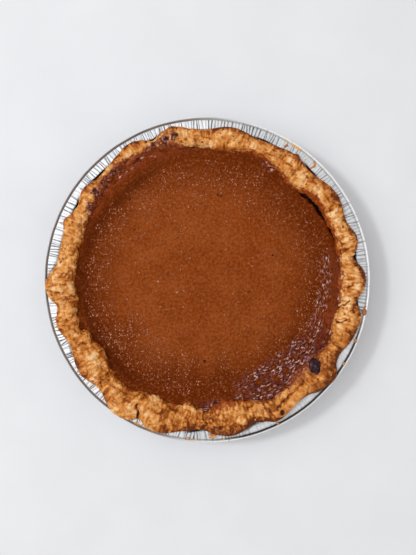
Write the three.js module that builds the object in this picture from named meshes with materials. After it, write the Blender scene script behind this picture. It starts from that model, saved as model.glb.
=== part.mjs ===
// A whole pumpkin pie in its foil tin: a flared pan with a flat flange and a rolled edge, a pastry shell
// whose rim is pinched by hand into uneven flutes that lie on the flange, and a baked custard filling, level
// inside the shell. The origin is at the middle of the tin's flat base, +Z is up and +X is the pie's
// 0 degrees. Sizes are millimetres.
import * as THREE from "three";

// Driving dimensions
const tinRadius = 122; // to the outside of the rolled edge
const tinMouth = 113.3; // where the side wall turns out into the flange
const tinBase = 92.5; // where the side wall meets the flat base
const tinCorner = 2.5; // height of the turn from the base into the side wall
const tinDepth = 32; // from the surface that the pie stands on to the top of the flange
const tinWall = 0.6; // foil with its pleats pressed flat
const beadRadius = 1.15; // of the rolled edge
const beadDrop = 0.2; // from the flange down to the middle of the rolled edge
const clearance = 0.45; // between nested pieces
const pastry = 4.2; // thickness of the shell's floor
const shellFoot = 87; // inside radius of the shell at its floor
const fillingLevel = 28; // height of the custard's middle
const rimFoot = fillingLevel - 1; // height of the rim's inner edge, where the custard begins to climb it
const notchRadius = 113.6; // how far out the pastry reaches between its flutes
const innerRadius = 99.5; // how far in the rim reaches where it isn't pushed either way
const lean = 1.3; // how far the whole shell sits off the tin's middle
const leanAngle = 267; // and towards where, in degrees
const crestRise = 4.6; // from the flange to the top of the rim between its flutes
const fluteLift = 0.25; // how much a flute rises for each millimetre that it reaches out
const archFullness = 0.75; // power of the rim's arch: below one is fuller than a half round

const tinSteps = 96;
const pieSteps = 144;
const archPoints = 9; // across the top of the rim, outer edge to inner edge
const wallHeights = [12, 19.5]; // where the wall between pastry and custard has rows of corners

// The rim's flutes, anticlockwise: middle in degrees, reach past the notches, half width in degrees
const flutes = [
  [1, 5.6, 8], [16, 4, 7.5], [34, 4, 13], [56, 2.6, 11], [81, 4, 13], [103, 5.8, 8.5], [120, 5.8, 11],
  [143.5, 3.2, 6.5], [157, 4, 6], [182, 8.2, 9.5], [197, 4.2, 8.5], [216, 4.2, 11.5], [235, 7.4, 11.5],
  [252, 5.4, 10.5], [279, 3.8, 9.5], [297, 3.8, 9.5], [320, 5.6, 10.5], [343.5, 5.2, 11],
];
// Where the rim's inner edge is pushed in over the custard (below zero) or drawn back from it, the same way
const folds = [
  [50, -5.3, 13], [85, -1.5, 10], [124, 7, 34], [186, -1.8, 5], [199, 4, 7], [213, -5, 10], [234, 2, 7],
  [246, -5.2, 7.5], [262, -5.4, 8], [281, -7, 12], [300, 2.4, 7], [316, -4.4, 13], [335, 3.2, 8],
];
// Where the rim stands taller or has sunk, the same way
const swells = [
  [20, 1, 25], [60, 1.4, 24], [128, -1.6, 28], [182, 1.6, 12], [214, 2.2, 16], [241, 2.6, 16], [280, 1.6, 18],
  [318, 1.8, 18], [350, 1, 12],
];

const radians = (degrees) => (degrees * Math.PI) / 180;

// A sum of smooth bumps round the pie, each [middle, height, half width]
function bumps(list, angle) {
  return list.reduce((sum, [middle, height, halfWidth]) => {
    const away = Math.abs(((angle - middle + 540) % 360) - 180) / halfWidth;
    return away < 1 ? sum + height * Math.cos((away * Math.PI) / 2) ** 2 : sum;
  }, 0);
}

const outerEdge = (angle) => notchRadius + lean * Math.cos(radians(angle - leanAngle)) + bumps(flutes, angle);
const innerEdge = (angle) => innerRadius + bumps(folds, angle);
const crestHeight = (angle) => tinDepth + crestRise + fluteLift * bumps(flutes, angle) + bumps(swells, angle);

// The tin's side wall: how far it flares for each millimetre of height, and its inside radius at a height
const flare = (tinMouth - tinBase) / tinDepth;
const tinInside = (z) => tinBase - tinWall + flare * z;

// The pastry shell's inside at a height: round at the floor, and the rim's inner edge at the custard's level
const shellFloor = tinWall + clearance + pastry;
function shellInside(angle, z) {
  const up = Math.min((z - shellFloor) / (rimFoot - shellFloor), 1);
  return THREE.MathUtils.lerp(shellFoot, innerEdge(angle), up);
}

// Bends a round lathe so that each station round the axis has its own section: sectionAt(angle) gives its
// [radius, height] points from the axis at the bottom to the axis at the top
function fluted(sectionAt, steps) {
  const first = sectionAt(0);
  const geometry = new THREE.LatheGeometry(first.map(([r, z]) => new THREE.Vector2(r, z)), steps);
  const position = geometry.getAttribute("position");
  for (let station = 0; station <= steps; station++) {
    const angle = (360 * (station % steps)) / steps;
    sectionAt(angle).forEach(([r, z], i) => {
      const [x, y] = [r * Math.cos(radians(angle)), r * Math.sin(radians(angle))];
      position.setXYZ(station * first.length + i, x, y, z);
    });
  }
  geometry.deleteAttribute("normal");
  geometry.deleteAttribute("uv");
  return geometry;
}

// The foil tin: flat base, flared side, flange and rolled edge, all one wall
function tinSection() {
  const bead = [-150, -100, -50, 0, 50, 100, 150].map((turn) => [
    tinRadius - beadRadius + beadRadius * Math.cos(radians(turn)),
    tinDepth - beadDrop + beadRadius * Math.sin(radians(turn)),
  ]);
  return [
    [0, 0],
    [tinBase - tinCorner, 0],
    [tinBase + tinCorner * flare, tinCorner],
    [tinMouth - 0.5, tinDepth - tinWall - 1],
    [tinMouth + 0.7, tinDepth - tinWall],
    ...bead,
    [tinMouth + 0.4, tinDepth],
    [tinMouth - tinWall - 0.3, tinDepth - 0.8],
    [tinInside(tinCorner + tinWall), tinCorner + tinWall],
    [tinBase - tinCorner - tinWall / 2, tinWall],
    [0, tinWall],
  ];
}

// The pastry shell: floor and side against the tin, out under the flutes, over the rim and down to the
// inside floor
function crustSection(angle) {
  const outer = outerEdge(angle);
  const inner = innerEdge(angle);
  const crest = crestHeight(angle);
  const under = tinDepth + beadRadius + clearance; // clears the rolled edge as well as the flange
  const heel = 4; // size of the shell's bottom corner
  const wallTop = tinDepth - 3;
  const neck = Math.min(tinInside(tinDepth) - clearance - 0.2, outer - 1.4);
  const section = [
    [0, tinWall + clearance],
    [tinBase - heel, tinWall + clearance],
    [tinInside(heel) - clearance, heel],
    [tinInside(wallTop) - clearance, wallTop],
    [neck, tinDepth + 0.2],
  ];
  const middle = (outer + inner) / 2;
  const half = (outer - inner) / 2;
  for (let i = 0; i < archPoints; i++) {
    const along = i / (archPoints - 1);
    const turn = Math.PI * along;
    const foot = THREE.MathUtils.lerp(under, rimFoot, along);
    section.push([middle + half * Math.cos(turn), foot + (crest - foot) * Math.sin(turn) ** archFullness]);
  }
  const wall = wallHeights.map((z) => [shellInside(angle, z), z]);
  return [...section, ...wall.reverse(), [shellInside(angle, shellFloor), shellFloor], [0, shellFloor]];
}

// The custard: it fills the shell, climbs its side a little and is lowest in the middle
function fillingSection(angle) {
  const inside = (z) => shellInside(angle, z) - clearance;
  const floor = shellFloor + clearance;
  const edge = inside(fillingLevel);
  return [
    [0, floor],
    [inside(floor), floor],
    ...wallHeights.map((z) => [inside(z), z]),
    [inside(rimFoot), rimFoot],
    [edge - 0.2, fillingLevel + 0.7],
    [edge * 0.9, fillingLevel + 0.4],
    [edge * 0.6, fillingLevel + 0.1],
    [0, fillingLevel],
  ];
}

function piece(name, geometry, color, roughness, metalness) {
  const mesh = new THREE.Mesh(geometry, new THREE.MeshStandardMaterial({ color, roughness, metalness }));
  mesh.name = name;
  return mesh;
}

const pie = new THREE.Group();
pie.add(piece("tin", fluted(tinSection, tinSteps), 0xc9c9c9, 0.35, 1));
pie.add(piece("crust", fluted(crustSection, pieSteps), 0xc4854c, 0.75, 0));
pie.add(piece("filling", fluted(fillingSection, pieSteps), 0x8a451c, 0.45, 0));

export default pie;
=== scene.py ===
import math

import bpy
import numpy as np
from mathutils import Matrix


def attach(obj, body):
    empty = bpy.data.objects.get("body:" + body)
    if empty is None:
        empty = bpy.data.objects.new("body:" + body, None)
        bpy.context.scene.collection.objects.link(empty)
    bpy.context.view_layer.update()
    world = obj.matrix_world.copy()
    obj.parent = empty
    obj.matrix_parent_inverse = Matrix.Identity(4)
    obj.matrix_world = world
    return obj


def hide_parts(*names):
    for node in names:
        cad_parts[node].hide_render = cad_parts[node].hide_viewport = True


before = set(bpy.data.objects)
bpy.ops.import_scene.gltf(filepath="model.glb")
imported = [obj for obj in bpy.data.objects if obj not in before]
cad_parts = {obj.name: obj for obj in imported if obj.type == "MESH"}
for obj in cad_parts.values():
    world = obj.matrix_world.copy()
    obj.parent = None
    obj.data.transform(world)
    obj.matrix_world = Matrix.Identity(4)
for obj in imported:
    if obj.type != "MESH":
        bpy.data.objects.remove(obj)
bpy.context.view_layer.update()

MM = 0.001

# Mesh density
RIM_COLUMNS = 1220
RIM_ROWS = 66
FILLING_GRID = 304
PLEATS = 340

# Tin, beyond what the frame says
FOIL = 0.32  # thickness
TIN_MOUTH = 113.0  # where the wall turns out into the flange
TIN_BASE = 91.9
BEAD = 0.62  # radius of the rolled edge
BEAD_TOP = 0.95  # how far the solid's thicker rolled edge stands over its flange
FLANGE_START = TIN_MOUTH + 1.2  # radius where the turn from the wall ends
FLANGE_WIDTH = 5.7
FLANGE_FALL = 0.55  # from the mouth down to the rolled edge
FLANGE_MIDDLE = 117.0
PLEAT_GROOVE = 0.42  # half width

# Pastry and custard
RIM_MIDDLE = 108
RIM_FULLNESS = 0.72  # power of the rim's arch: below one is fuller than a half round
CREST_ROOM = 0.35  # how far the smooth arch stays below the solid's crest, for its lumps
EDGE_ROOM = 0.5  # the same at its outer edge
SHELL_FOOT = 87  # inside radius of the pastry shell at its floor
GAP = 0.45  # between the frame's nested pieces
OVERLAP = 0.9  # how far the custard's edge reaches into the pastry, so that no gap shows
SKIN_DEPTH = 0.8  # thickness of the skin's sheet, its lower face sunk in the custard


# Noise and falloffs

gradient_table = np.random.default_rng(11).normal(size=(4096, 3))
gradient_table /= np.linalg.norm(gradient_table, axis=1)[:, None]


def lattice_hash(at, seed):
    """A number from 0 to 4095 for each corner of an integer lattice"""
    mask = 0xFFFFFFFF
    h = (at[..., 0] * 374761393 + at[..., 1] * 668265263 + at[..., 2] * 69069 + seed * 362437) & mask
    h = ((h ^ (h >> 13)) * 1274126177) & mask
    return (h ^ (h >> 16)) & 4095


def noise(points, size, seed):
    """Smooth gradient noise, about -1 to 1, with lumps of that size in millimetres"""
    place = points / size
    corner = np.floor(place).astype(np.int64)
    part = place - corner
    ease = part**3 * (part * (part * 6 - 15) + 10)
    total = np.zeros(points.shape[:-1])
    for offset in np.ndindex(2, 2, 2):
        slope = gradient_table[lattice_hash(corner + offset, seed)]
        weight = np.prod(np.where(offset, ease, 1 - ease), axis=-1)
        total += weight * np.sum(slope * (part - offset), axis=-1)
    return total * 1.6


def billows(points, size, seed):
    """Rounded lumps with sharp creases between them, about -0.5 to 1"""
    return np.abs(noise(points, size, seed)) ** 0.8 * 1.9 - 0.5


def warped(points, size, reach, seed):
    """The points pushed about by slow noise, so that what is built on them looks less regular"""
    return points + reach * np.stack([noise(points, size, seed + k) for k in range(3)], axis=-1)


def terraces(points, size, steps, seed):
    """Thin layers with small cliffs at their edges, about -0.5 to 0.5"""
    climb = noise(points, size, seed) * steps + 0.35 * noise(points, size / 5, seed + 1)
    part = climb - np.floor(climb)
    return 0.5 - np.clip(part / 0.86, 0, 1) + np.clip((part - 0.86) / 0.14, 0, 1)


def smooth(low, high, value):
    """0 below low, 1 above high and a smooth climb between"""
    t = np.clip((value - low) / (high - low), 0, 1)
    return t * t * (3 - 2 * t)


def greatest(*masks):
    """The greatest of several masks at each point"""
    result = masks[0]
    for mask in masks[1:]:
        result = np.maximum(result, mask)
    return result


def polar(angle, radius):
    return np.array((radius * math.cos(math.radians(angle)), radius * math.sin(math.radians(angle))))


def angle_of(points):
    return np.degrees(np.arctan2(points[..., 1], points[..., 0])) % 360


def radius_of(points):
    return np.hypot(points[..., 0], points[..., 1])


def away_from(angles, middle):
    """How far round the pie angles are from a middle, 0 to 180"""
    return np.abs((angles - middle + 540) % 360 - 180)


def bumps(features, angles):
    """The sum of smooth bumps round the pie, each (middle, height, half width)"""
    total = np.zeros(np.shape(angles))
    for middle, height, half_width in features:
        away = np.minimum(away_from(angles, middle) / half_width, 1)
        total += height * np.cos(away * math.pi / 2) ** 2
    return total


def sector(angles, start, end, fade):
    """1 between two angles, fading to 0 outside them"""
    half = (end - start) / 2
    return 1 - smooth(half, half + fade, away_from(angles, (start + end) / 2))


def spot(points, angle, radius, size):
    """1 at a place seen from above, falling smoothly to 0 at a distance of size"""
    away = radius_of(points[..., :2] - polar(angle, radius)) / size
    return np.clip(1 - away**2, 0, 1) ** 2


def groove(points, route, width):
    """1 along a route of (angle, radius) corners, seen from above, and 0 beyond its width"""
    corners = [polar(*corner) for corner in route]
    nearest = np.full(points.shape[:-1], 1e9)
    for a, b in zip(corners, corners[1:]):
        reach = b - a
        offset = points[..., :2] - a
        t = np.clip(offset @ reach / (reach @ reach), 0, 1)
        nearest = np.minimum(nearest, np.linalg.norm(offset - t[..., None] * reach, axis=-1))
    return np.clip(1 - (nearest / width) ** 2, 0, 1) ** 1.5


def catmull_rom(before, start, end, after, f):
    """A smooth curve from start to end as f goes from 0 to 1"""
    bend = 2 * before - 5 * start + 4 * end - after + f * (3 * (start - end) + after - before)
    return start + 0.5 * f * (end - before + f * bend)


def curve_through(corners, count):
    """Evenly spaced points along a smooth curve through the corners"""
    corners = np.asarray(corners, dtype=float)
    ends = np.vstack([2 * corners[0] - corners[1], corners, 2 * corners[-1] - corners[-2]])
    f = np.linspace(0, 1, 24, endpoint=False)[:, None]
    dense = [catmull_rom(*four, f) for four in zip(ends, ends[1:], ends[2:], ends[3:])]
    dense = np.vstack(dense + [corners[-1:]])
    along = np.concatenate([[0], np.cumsum(np.linalg.norm(np.diff(dense, axis=0), axis=1))])
    even = np.linspace(0, along[-1], count)
    return np.stack([np.interp(even, along, dense[:, k]) for k in range(dense.shape[1])], axis=1)


def round_curve(values):
    """A smooth curve through values evenly spaced round the pie, as a function of the angle"""
    def at(angles):
        place = np.asarray(angles) / 360 * len(values) % len(values)
        k = np.floor(place).astype(int)
        return catmull_rom(*(values[(k + step) % len(values)] for step in (-1, 0, 1, 2)), place - k)
    return at


# What the frame gives

STATIONS = 144


def node_points(name):
    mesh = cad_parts[name].data
    flat = np.empty(len(mesh.vertices) * 3)
    mesh.vertices.foreach_get("co", flat)
    return flat.reshape(-1, 3) / MM


def outline(points, value, pick):
    """A curve through one value for each of the solid's stations round the axis, picked from its points"""
    station = np.round(angle_of(points) / 360 * STATIONS).astype(int) % STATIONS
    return round_curve(np.array([pick(value[station == k]) for k in range(STATIONS)]))


tin_points = node_points("tin")
filling_points = node_points("filling")
LEVEL = filling_points[radius_of(filling_points) < 1][:, 2].max()
RIM_FOOT = LEVEL - 1
TIN_RADIUS = radius_of(tin_points).max()
TIN_TOP = tin_points[:, 2].max()
FLANGE = TIN_TOP - BEAD_TOP
SHELL_FLOOR = filling_points[:, 2].min() - GAP

rim_points = node_points("crust")
rim_points = rim_points[rim_points[:, 2] > RIM_FOOT - 0.05]
solid_outer = outline(rim_points, radius_of(rim_points), np.max)
solid_inner = outline(rim_points, radius_of(rim_points), np.min)
crest_height = outline(rim_points, rim_points[:, 2], np.max)

# Small lobes and nicks of the pastry beyond the solid's own outline: middle, reach outwards, half width
NICKS = [
    (8.5, -2.4, 4), (46, -0.4, 6), (54, 1.6, 2), (95, 1.8, 5), (108, 1.5, 3), (111.5, -1.0, 2), (128, 1.4, 4),
    (150.5, -0.8, 3), (154.5, -1.4, 3), (187, 1.2, 3), (240, 1.4, 5), (247, 2.0, 4), (267, -2.2, 6),
    (289, -1.8, 5), (293, -1.4, 3), (315, 1.2, 4), (323, 2.2, 5), (336, 1.8, 6), (346.5, 1.0, 4),
    (351, -1.6, 3), (357, 1.4, 5),
]
# The same for the rim's inner edge
FOLDS = [
    (120, -1.6, 12), (143, -1.4, 8), (162, -1.6, 6), (171, -1.8, 6), (198, -2.6, 4), (204, -3, 4),
    (218, -1.6, 8), (240, -2.6, 3), (252, -2.2, 6), (275, -3, 8), (290, -2.4, 5), (302, -2, 5), (20, 0.9, 9),
    (80, -1.5, 9), (261, -1.0, 8), (340, -1.0, 9),
]
# Where the custard has shrunk away from the pastry: middle, width of the gap, half width
SHRUNK = [(41, 2.5, 8), (33, 2.0, 10), (22, 1.3, 9), (11, 1.1, 4)]


def outer_edge(angles):
    return solid_outer(angles) + bumps(NICKS, angles) - EDGE_ROOM


def inner_edge(angles):
    return solid_inner(angles) + bumps(FOLDS, angles)


# Meshes

def make_piece(name, points, faces, slot, replaced=(), **masks):
    """A mesh piece from points in millimetres, with one number for each point in each named mask"""
    mesh = bpy.data.meshes.new(name)
    mesh.from_pydata((np.asarray(points) * MM).tolist(), [], faces)
    for mask, values in masks.items():
        layer = mesh.attributes.new(mask, "FLOAT", "POINT")
        layer.data.foreach_set("value", np.asarray(values, dtype=np.float32).ravel())
    mesh.polygons.foreach_set("use_smooth", [True] * len(mesh.polygons))
    piece = bpy.data.objects.new(name, mesh)
    bpy.context.collection.objects.link(piece)
    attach(piece, "root")
    if replaced:
        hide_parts(*replaced)
    return piece


def band(lower, upper):
    """Quads between two closed loops of points"""
    return np.stack([lower, np.roll(lower, -1), np.roll(upper, -1), upper], axis=-1).tolist()


def fan(tip, first, second):
    """Triangles from one point to each pair of points"""
    return np.stack([np.full(len(first), tip), first, second], axis=-1).tolist()


def cells(index):
    """Quads of a grid of points"""
    corners = (index[:-1, :-1], index[:-1, 1:], index[1:, 1:], index[1:, :-1])
    return np.stack(corners, axis=-1).reshape(-1, 4)


def border(index):
    """A grid's border points in order, first along its first row"""
    return np.concatenate([index[0, :-1], index[:-1, -1], index[-1, :0:-1], index[:0:-1, 0]])


def round_faces(rows, columns):
    """Faces of a closed round form: rings from the bottom to the top, then a bottom and a top point"""
    rings = np.arange(rows * columns).reshape(rows, columns)
    faces = []
    for lower, upper in zip(rings, rings[1:]):
        faces += band(lower, upper)
    after = np.roll(rings, -1, axis=1)
    bottom, top = rows * columns, rows * columns + 1
    return faces + fan(bottom, after[0], rings[0]) + fan(top, rings[-1], after[-1])


def sheet_faces(rows, columns):
    """Faces of a closed sheet: a grid of upper points, then the same grid of lower points"""
    index = np.arange(rows * columns).reshape(rows, columns)
    upper = cells(index)
    lower = upper[:, ::-1] + rows * columns
    edge = border(index)
    return upper.tolist() + lower.tolist() + band(edge + rows * columns, edge)


def joined(shells):
    """Several closed shells, each (points, faces, mask), as one; a mask may be one number for its shell"""
    points, faces, masks, count = [], [], [], 0
    for shell_points, shell_faces, mask in shells:
        size = len(shell_points)
        points.append(shell_points)
        faces += [tuple(index + count for index in face) for face in shell_faces]
        masks.append(np.broadcast_to(mask, (size, *np.shape(mask)[1:])))
        count += size
    return np.vstack(points), faces, np.concatenate(masks)


def ring_points(radius, height, angles):
    """Points of shape (rows, columns, 3) from radii, heights and angles that fit together"""
    radius, height, angles = np.broadcast_arrays(radius, height, angles)
    turn = np.radians(angles)
    return np.stack([radius * np.cos(turn), radius * np.sin(turn), height], axis=-1)


def closed_rings(rings, bottom, top):
    """The points that round_faces expects, from an array of rings and the two end points"""
    return np.vstack([rings.reshape(-1, 3), bottom, top])


def blob(centre, radii, turn=0.0, rough=0.2, size=1.5, seed=1, rows=8, columns=12):
    """A closed lump: an egg shape with uneven sides, turned about the upright"""
    lift = np.radians(np.linspace(-90, 90, rows + 2)[1:-1])[:, None]
    around = np.linspace(0, 360, columns, endpoint=False)
    unit = closed_rings(ring_points(np.cos(lift), np.sin(lift), around[None]), (0, 0, -1), (0, 0, 1))
    shape = unit * np.asarray(radii)
    shape = shape * (1 + rough * noise(shape + np.asarray(centre) * 3.7, size, seed))[:, None]
    x, y, z = shape.T
    c, s = math.cos(math.radians(turn)), math.sin(math.radians(turn))
    return np.column_stack([x * c - y * s, x * s + y * c, z]) + centre, round_faces(rows, columns)


def strand(route, half_width, half_height, rough=0.15, size=2.0, seed=1, around=14, count=40):
    """A closed roll along a route of points, flat or round in section, with blunt uneven ends"""
    line = curve_through(route, count)
    along = np.gradient(line, axis=0)
    along /= np.linalg.norm(along, axis=1)[:, None]
    side = np.cross(along, (0, 0, 1))
    side /= np.linalg.norm(side, axis=1)[:, None]
    up = np.cross(side, along)
    t = np.linspace(-1, 1, count)
    taper = np.sqrt(np.clip(1 - np.abs(t * 0.985) ** 5, 0, 1))
    width = np.interp(t, np.linspace(-1, 1, np.size(half_width)), np.atleast_1d(half_width)) * taper
    turn = np.linspace(0, 2 * math.pi, around, endpoint=False)
    section = (side[:, None] * (width[:, None] * np.cos(turn))[..., None]
               - up[:, None] * (half_height * taper[:, None] * np.sin(turn))[..., None])
    push = 1 + rough * noise(line[:, None] + section, size, seed)
    rings = line[:, None] + section * push[..., None]
    return closed_rings(rings, line[0], line[-1]), round_faces(count, around)


def grid_normals(rings):
    """Outward normals of an array of rings"""
    across = np.roll(rings, -1, axis=1) - np.roll(rings, 1, axis=1)
    normal = np.cross(across, np.gradient(rings, axis=0))
    return normal / np.maximum(np.linalg.norm(normal, axis=-1, keepdims=True), 1e-9)


# Materials

def srgb(red, green, blue):
    """A colour given as 0 to 255 the way screens show it, as Blender's linear colour"""
    def linear(value):
        value /= 255
        return value / 12.92 if value <= 0.04045 else ((value + 0.055) / 1.055) ** 2.4
    return linear(red), linear(green), linear(blue), 1.0


class Shade:
    """A node material built up call by call; its colours are given as 0 to 255"""

    def __init__(self, name, **uniform):
        self.material = bpy.data.materials.new(name)
        self.material.use_nodes = True
        self.tree = self.material.node_tree
        self.shader = self.tree.nodes["Principled BSDF"]
        self.place = self.node("ShaderNodeTexCoord").outputs["Object"]
        for socket, value in uniform.items():
            self.shader.inputs[socket.replace("_", " ")].default_value = value

    def node(self, kind, links=(), **settings):
        node = self.tree.nodes.new(kind)
        for key, value in settings.items():
            setattr(node, key, value)
        for socket, value in dict(links).items():
            self.feed(node.inputs[socket], value)
        return node

    def feed(self, socket, value):
        if isinstance(value, bpy.types.NodeSocket):
            self.tree.links.new(value, socket)
        else:
            socket.default_value = srgb(*value) if isinstance(value, tuple) else value

    def mask(self, name):
        return self.node("ShaderNodeAttribute", attribute_name=name).outputs["Fac"]

    def noise(self, size, detail=3.0, roughness=0.55):
        """Noise with lumps of that size in millimetres"""
        links = {"Vector": self.place, "Scale": 1 / (size * MM), "Detail": detail, "Roughness": roughness}
        return self.node("ShaderNodeTexNoise", links).outputs["Fac"]

    def noise_along(self, size, stretch, detail=2.0):
        """Noise with lumps of that size in millimetres, drawn out round the pie by the masks out and arc"""
        arc = self.math("DIVIDE", self.mask("arc"), stretch)
        place = self.node("ShaderNodeCombineXYZ", {0: self.mask("out"), 1: arc}).outputs[0]
        links = {"Vector": place, "Scale": 1 / size, "Detail": detail, "Roughness": 0.55}
        return self.node("ShaderNodeTexNoise", links).outputs["Fac"]

    def span(self, value, low, high, to_low=0.0, to_high=1.0):
        """Stretches low to high onto to_low to to_high, and holds what is outside"""
        links = {0: value, 1: low, 2: high, 3: to_low, 4: to_high}
        return self.node("ShaderNodeMapRange", links, clamp=True).outputs[0]

    def uneven(self, size, low, high):
        """A number that wanders between low and high, with lumps of that size"""
        return self.span(self.noise(size), 0.3, 0.7, low, high)

    def math(self, operation, first, second):
        return self.node("ShaderNodeMath", {0: first, 1: second}, operation=operation).outputs[0]

    def times(self, first, second):
        return self.math("MULTIPLY", first, second)

    def plus(self, first, second):
        return self.math("ADD", first, second)

    def ramp(self, value, *stops):
        """Colours along a value, each stop (position, colour)"""
        node = self.node("ShaderNodeValToRGB", {0: value})
        elements = node.color_ramp.elements
        while len(elements) < len(stops):
            elements.new(1.0)
        for element, (position, colour) in zip(elements, stops):
            element.position = position
            element.color = srgb(*colour)
        return node.outputs["Color"]

    def mix(self, factor, first, second):
        return self.node("ShaderNodeMix", {0: factor, 6: first, 7: second}, data_type="RGBA").outputs[2]

    def bump(self, height, depth):
        """Relief of that depth in millimetres"""
        links = {"Height": height, "Strength": 1.0, "Distance": depth * MM}
        return self.node("ShaderNodeBump", links).outputs["Normal"]

    def finish(self, colour, roughness, normal=None):
        self.feed(self.shader.inputs["Base Color"], colour)
        self.feed(self.shader.inputs["Roughness"], roughness)
        if normal is not None:
            self.feed(self.shader.inputs["Normal"], normal)
        return self.material


def foil_material():
    """Shiny foil with painted shade in its grooves, seam, rolled edge, mouth and crevices, and a painted
    highlight
    """
    shade = Shade("foil_finish", Metallic=0.32, Specular_IOR_Level=0.2)
    colour = shade.ramp(shade.noise(5.0, 2.0), (0.3, (210, 212, 215)), (0.7, (232, 233, 236)))
    uneven_groove_shade = shade.span(shade.noise(2.2, 3.0), 0.35, 0.65, 0.55, 1.0)
    # Painted shade: the pleat grooves are painted near black, unevenly
    colour = shade.mix(shade.times(shade.mask("crease"), uneven_groove_shade), colour, (52, 55, 60))
    # Painted highlight: near white, mostly on the rolled edge round the right
    colour = shade.mix(shade.mask("painted_highlight"), colour, (252, 252, 252))
    # Painted shade: brown on the left rolled edge, a painted reflection of the pastry, and a seam line on the
    # right
    colour = shade.mix(shade.mask("painted_edge_shade"), colour, (88, 62, 38))
    # Painted shade: near black inside the tin's mouth, in the crevices under the pastry and along the lower
    # right seam
    colour = shade.mix(shade.mask("painted_foil_shade"), colour, (20, 10, 6))
    scratches = shade.noise(0.9, 4.0, 0.7)
    return shade.finish(colour, shade.span(scratches, 0.3, 0.7, 0.36, 0.5), shade.bump(scratches, 0.05))


def pastry_material():
    """Pastry from the oven: paler lumps and darker creases and edges, part toasting and part painted
    highlight and shade, custard that boiled over, black where it burnt and painted shade in its gaps
    """
    shade = Shade("pastry_finish", Specular_IOR_Level=0.17)
    mottle = shade.times(shade.math("SUBTRACT", shade.noise(2.6, 4.0, 0.55), 0.5), 0.9)
    # Painted highlight on lumps and ridges and painted shade in creases, cracks, pits and edges, over uneven
    # toasting
    colour = shade.ramp(
        shade.plus(shade.mask("toast"), mottle),
        (0.00, (250, 212, 162)),
        (0.22, (240, 178, 110)),
        (0.46, (219, 141, 64)),
        (0.72, (174, 93, 25)),
        (1.00, (104, 46, 4)),
    )
    stops = (0.36, (58, 14, 8)), (0.5, (112, 48, 32)), (0.64, (204, 144, 120))
    purple = shade.ramp(shade.noise(1.9, 4.0), *stops)
    amber = shade.ramp(shade.noise(2.4, 4.0), (0.3, (124, 46, 6)), (0.7, (192, 98, 40)))
    film = shade.mix(shade.mask("purple"), amber, purple)
    colour = shade.mix(shade.mask("film"), colour, film)
    # Black where it burnt, and painted shade near black where the custard shrank away, in deep cracks and in
    # the sunken end of the roll
    colour = shade.mix(shade.mask("char"), colour, (28, 15, 14))
    roughness = shade.span(shade.mask("film"), 0.0, 1.0, 0.44, 0.26)
    grain = shade.plus(shade.noise(0.9, 5.0, 0.62), shade.times(shade.noise(2.2, 3.0), 1.2))
    return shade.finish(colour, roughness, shade.bump(grain, 0.42))


def custard_material():
    """Oven-set custard: a satin surface with a fine grain, darker and redder towards the pastry, a darkest
    ring along the left that is part browning and part painted shadow of the pastry, and painted shade in pits
    and gaps
    """
    shade = Shade("custard_finish", Specular_IOR_Level=0.035)
    colour = shade.ramp(shade.noise(24.0, 3.0, 0.5), (0.36, (148, 67, 19)), (0.64, (160, 79, 31)))
    colour = shade.mix(shade.mask("deep"), colour, (108, 42, 3))
    fine = shade.noise(1.9, 4.0, 0.6)
    colour = shade.mix(shade.span(fine, 0.5, 0.7, 0.0, 0.52), colour, (180, 100, 52))
    colour = shade.mix(shade.span(fine, 0.5, 0.3, 0.0, 0.5), colour, (86, 30, 0))
    # Part browning and part painted shadow of the pastry: a darker ring along the left
    colour = shade.mix(shade.mask("baked"), colour, (70, 22, 0))
    # Painted shade: near black in pits and down the sides where the custard shrank from the pastry
    colour = shade.mix(shade.mask("pit"), colour, (24, 9, 5))
    grain = shade.plus(shade.noise(1.6, 3.0, 0.5), shade.times(shade.noise(0.8, 2.0), 0.4))
    return shade.finish(colour, shade.span(fine, 0.3, 0.7, 0.26, 0.42), shade.bump(grain, 1.2))


def skin_material():
    """The skin that custard gets where it boils longest: glossy, wrinkled, reddish or purple, with painted
    highlights on its folds and painted shade between them
    """
    shade = Shade("skin_finish", Specular_IOR_Level=0.06)
    speckle = shade.noise(1.6, 4.0, 0.6)
    plain = shade.ramp(speckle, (0.35, (98, 38, 4)), (0.65, (120, 50, 10)))
    red = shade.ramp(speckle, (0.35, (104, 36, 2)), (0.65, (150, 66, 18)))
    purple = shade.ramp(speckle, (0.35, (57, 14, 6)), (0.65, (118, 49, 33)))
    colour = shade.mix(shade.mask("purple"), red, purple)
    colour = shade.mix(shade.mask("body"), plain, colour)
    folds = shade.noise_along(1.15, 2.5)
    # Painted shade between the folds and painted highlights on them
    trough = shade.times(shade.span(folds, 0.5, 0.38), shade.mask("painted_light_on_folds"))
    colour = shade.mix(shade.times(trough, 0.9), colour, (44, 8, 2))
    painted_glint = shade.times(shade.span(folds, 0.5, 0.66), shade.mask("painted_light_on_folds"))
    painted_glint = shade.times(painted_glint, shade.span(shade.noise(5.0, 3.0), 0.4, 0.6, 0.2, 1.2))
    colour = shade.mix(painted_glint, colour, (236, 194, 182))
    grain = shade.plus(shade.noise(1.2, 3.0, 0.5), shade.times(folds, 0.8))
    return shade.finish(colour, shade.span(speckle, 0.3, 0.7, 0.2, 0.34), shade.bump(grain, 0.45))


def bubble_material():
    """Small custard bubbles, their tops painted pale, a painted highlight"""
    shade = Shade("bubble_finish", Specular_IOR_Level=0.28)
    tint = shade.ramp(shade.noise(6.0), (0.35, (120, 50, 8)), (0.65, (136, 62, 16)))
    return shade.finish(shade.mix(shade.mask("top"), tint, (200, 140, 106)), shade.uneven(1.0, 0.14, 0.24))


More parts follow.
